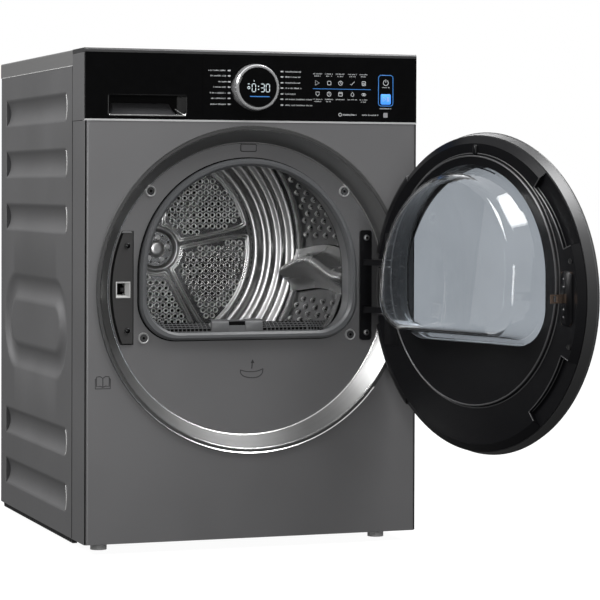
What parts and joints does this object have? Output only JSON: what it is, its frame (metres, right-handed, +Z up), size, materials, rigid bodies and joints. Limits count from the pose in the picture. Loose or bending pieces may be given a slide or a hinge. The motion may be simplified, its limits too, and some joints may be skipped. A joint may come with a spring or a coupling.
{
  "type": "clothes dryer",
  "caption": "Free-standing front-loading heat-pump clothes dryer in dark grey with a round glass door standing open, a turning steel drum, selector dial and water container.",
  "frame": {"origin": "on the floor, under the middle of the cabinet's footprint", "axes": "+Z up; -Y towards the front, where the door is; +X to the right seen from the front"},
  "size_m": [0.7019, 1.1247, 0.845],
  "materials": {
    "cabinet_grey": "satin dark metallic grey",
    "base_black": "moulded, matt",
    "fascia_black": "high gloss",
    "silver_trim": "satin",
    "ring_silver": "satin metallic",
    "dial_chrome": "polished with a brushed edge",
    "collar_grey": "satin blue-grey",
    "filter_grey": "satin",
    "mesh": "fine woven mesh",
    "felt": "pressed felt",
    "latch_dark": "satin",
    "latch_white": "satin",
    "door_black": "satin",
    "door_rim": "satin dark grey",
    "tinted_glass": "clear, grey tint",
    "bowl_glass": "clear",
    "striker_brass": "satin",
    "stainless": "bright, pressed",
    "screw_steel": "bright",
    "galvanised": "galvanised",
    "fins": "plain",
    "copper": "plain",
    "compressor_black": "satin",
    "motor_grey": "cast",
    "inner_plastic": "plain",
    "belt_rubber": "matt",
    "board_green": "lacquered",
    "foot_grey": "matt"
  },
  "bodies": {
    "cabinet": {"base_tray": "base_black", "left_side_panel": "cabinet_grey", "right_side_panel": "cabinet_grey", "front_panel": "cabinet_grey", "recess_ring": "ring_silver", "opening_gasket": "collar_grey", "front_bulkhead": "base_black", "front_felt_seal": "felt", "latch_plate": "latch_dark", "latch_housing": "latch_white", "hinge_plate": "latch_dark", "front_screws": "screw_steel", "rear_panel": "galvanised", "rear_bearing": "screw_steel", "rear_screws": "screw_steel", "rear_duct_cover": "base_black", "cord_gland": "base_black", "roller_axles": "screw_steel", "motor_housing": "motor_grey", "fan_housing": "base_black", "drive_belt": "belt_rubber", "evaporator": "fins", "condenser": "fins", "heat_exchanger_cover": "base_black", "compressor": "compressor_black", "refrigerant_pipes": "copper", "condensate_pump": "inner_plastic", "tank_tray": "base_black", "control_fascia": "fascia_black", "fascia_trims": "silver_trim", "display_lens": "fascia_black", "control_board": "board_green", "top_panel": "cabinet_grey"},
    "door": {"door_inner_frame": "door_black", "door_outer_ring": "door_rim", "door_outer_glass": "tinted_glass", "door_bowl": "bowl_glass", "door_hinge_leaf": "latch_dark", "hinge_pin": "screw_steel", "striker": "striker_brass", "door_screws": "screw_steel"},
    "drum": {"drum_shell": "stainless", "drum_back": "stainless", "drum_lifters": "stainless", "drum_shaft": "stainless", "hub_bolts": "stainless"},
    "motor_rotor": {"motor_shaft": "screw_steel", "fan_wheel": "inner_plastic"},
    "roller_left": {"support_roller_left": "belt_rubber"},
    "roller_right": {"support_roller_right": "belt_rubber"},
    "dial": {"dial_ring": "dial_chrome"},
    "water_container": {"water_tank": "inner_plastic", "tank_front": "fascia_black"},
    "filter": {"lint_filter": "filter_grey", "lint_mesh": "mesh"},
    "catch": {"latch_catch": "latch_white"},
    "foot_fl": {"foot_front_left": "foot_grey"},
    "foot_fr": {"foot_front_right": "foot_grey"},
    "foot_rl": {"foot_rear_left": "foot_grey"},
    "foot_rr": {"foot_rear_right": "foot_grey"}
  },
  "joints": [
    {"name": "door_swing", "type": "hinge", "parent": "cabinet", "child": "door", "pos_m": [0.242, -0.309, 0.443], "axis": [0, 0, 1], "range_deg": [-107, 4]},
    {"name": "drum_spin", "type": "hinge", "parent": "cabinet", "child": "drum", "pos_m": [0, 0, 0.495], "axis": [0, 1, 0], "continuous": true},
    {"name": "motor_spin", "type": "hinge", "parent": "cabinet", "child": "motor_rotor", "pos_m": [0.14, 0, 0.118], "axis": [0, 1, 0], "continuous": true},
    {"name": "roller_left_spin", "type": "hinge", "parent": "cabinet", "child": "roller_left", "pos_m": [-0.18033, -0.169, 0.23746], "axis": [0, 1, 0], "continuous": true},
    {"name": "roller_right_spin", "type": "hinge", "parent": "cabinet", "child": "roller_right", "pos_m": [0.18033, -0.169, 0.23746], "axis": [0, 1, 0], "continuous": true},
    {"name": "dial_turn", "type": "hinge", "parent": "cabinet", "child": "dial", "pos_m": [0.001, -0.305, 0.783], "axis": [0, -1, 0], "continuous": true},
    {"name": "container_slide", "type": "slide", "parent": "cabinet", "child": "water_container", "axis": [0, -1, 0], "range_m": [0, 0.44]},
    {"name": "filter_lift", "type": "slide", "parent": "cabinet", "child": "filter", "axis": [0, 0, 1], "range_m": [0, 0.165]},
    {"name": "catch_slide", "type": "slide", "parent": "cabinet", "child": "catch", "axis": [1, 0, 0], "range_m": [0, 0.0045], "stiffness_N_per_m": 300},
    {"name": "foot_fl_turn", "type": "hinge", "parent": "cabinet", "child": "foot_fl", "pos_m": [-0.253, -0.228, 0.02], "axis": [0, 0, 1], "continuous": true},
    {"name": "foot_fr_turn", "type": "hinge", "parent": "cabinet", "child": "foot_fr", "pos_m": [0.253, -0.228, 0.02], "axis": [0, 0, 1], "continuous": true},
    {"name": "foot_rl_turn", "type": "hinge", "parent": "cabinet", "child": "foot_rl", "pos_m": [-0.253, 0.228, 0.02], "axis": [0, 0, 1], "continuous": true},
    {"name": "foot_rr_turn", "type": "hinge", "parent": "cabinet", "child": "foot_rr", "pos_m": [0.253, 0.228, 0.02], "axis": [0, 0, 1], "continuous": true}
  ],
  "couplings": [
    {"joint": "motor_spin", "follows": "drum_spin", "ratio": 19.403},
    {"joint": "roller_left_spin", "follows": "drum_spin", "ratio": -9.4106},
    {"joint": "roller_right_spin", "follows": "drum_spin", "ratio": -9.4106}
  ]
}
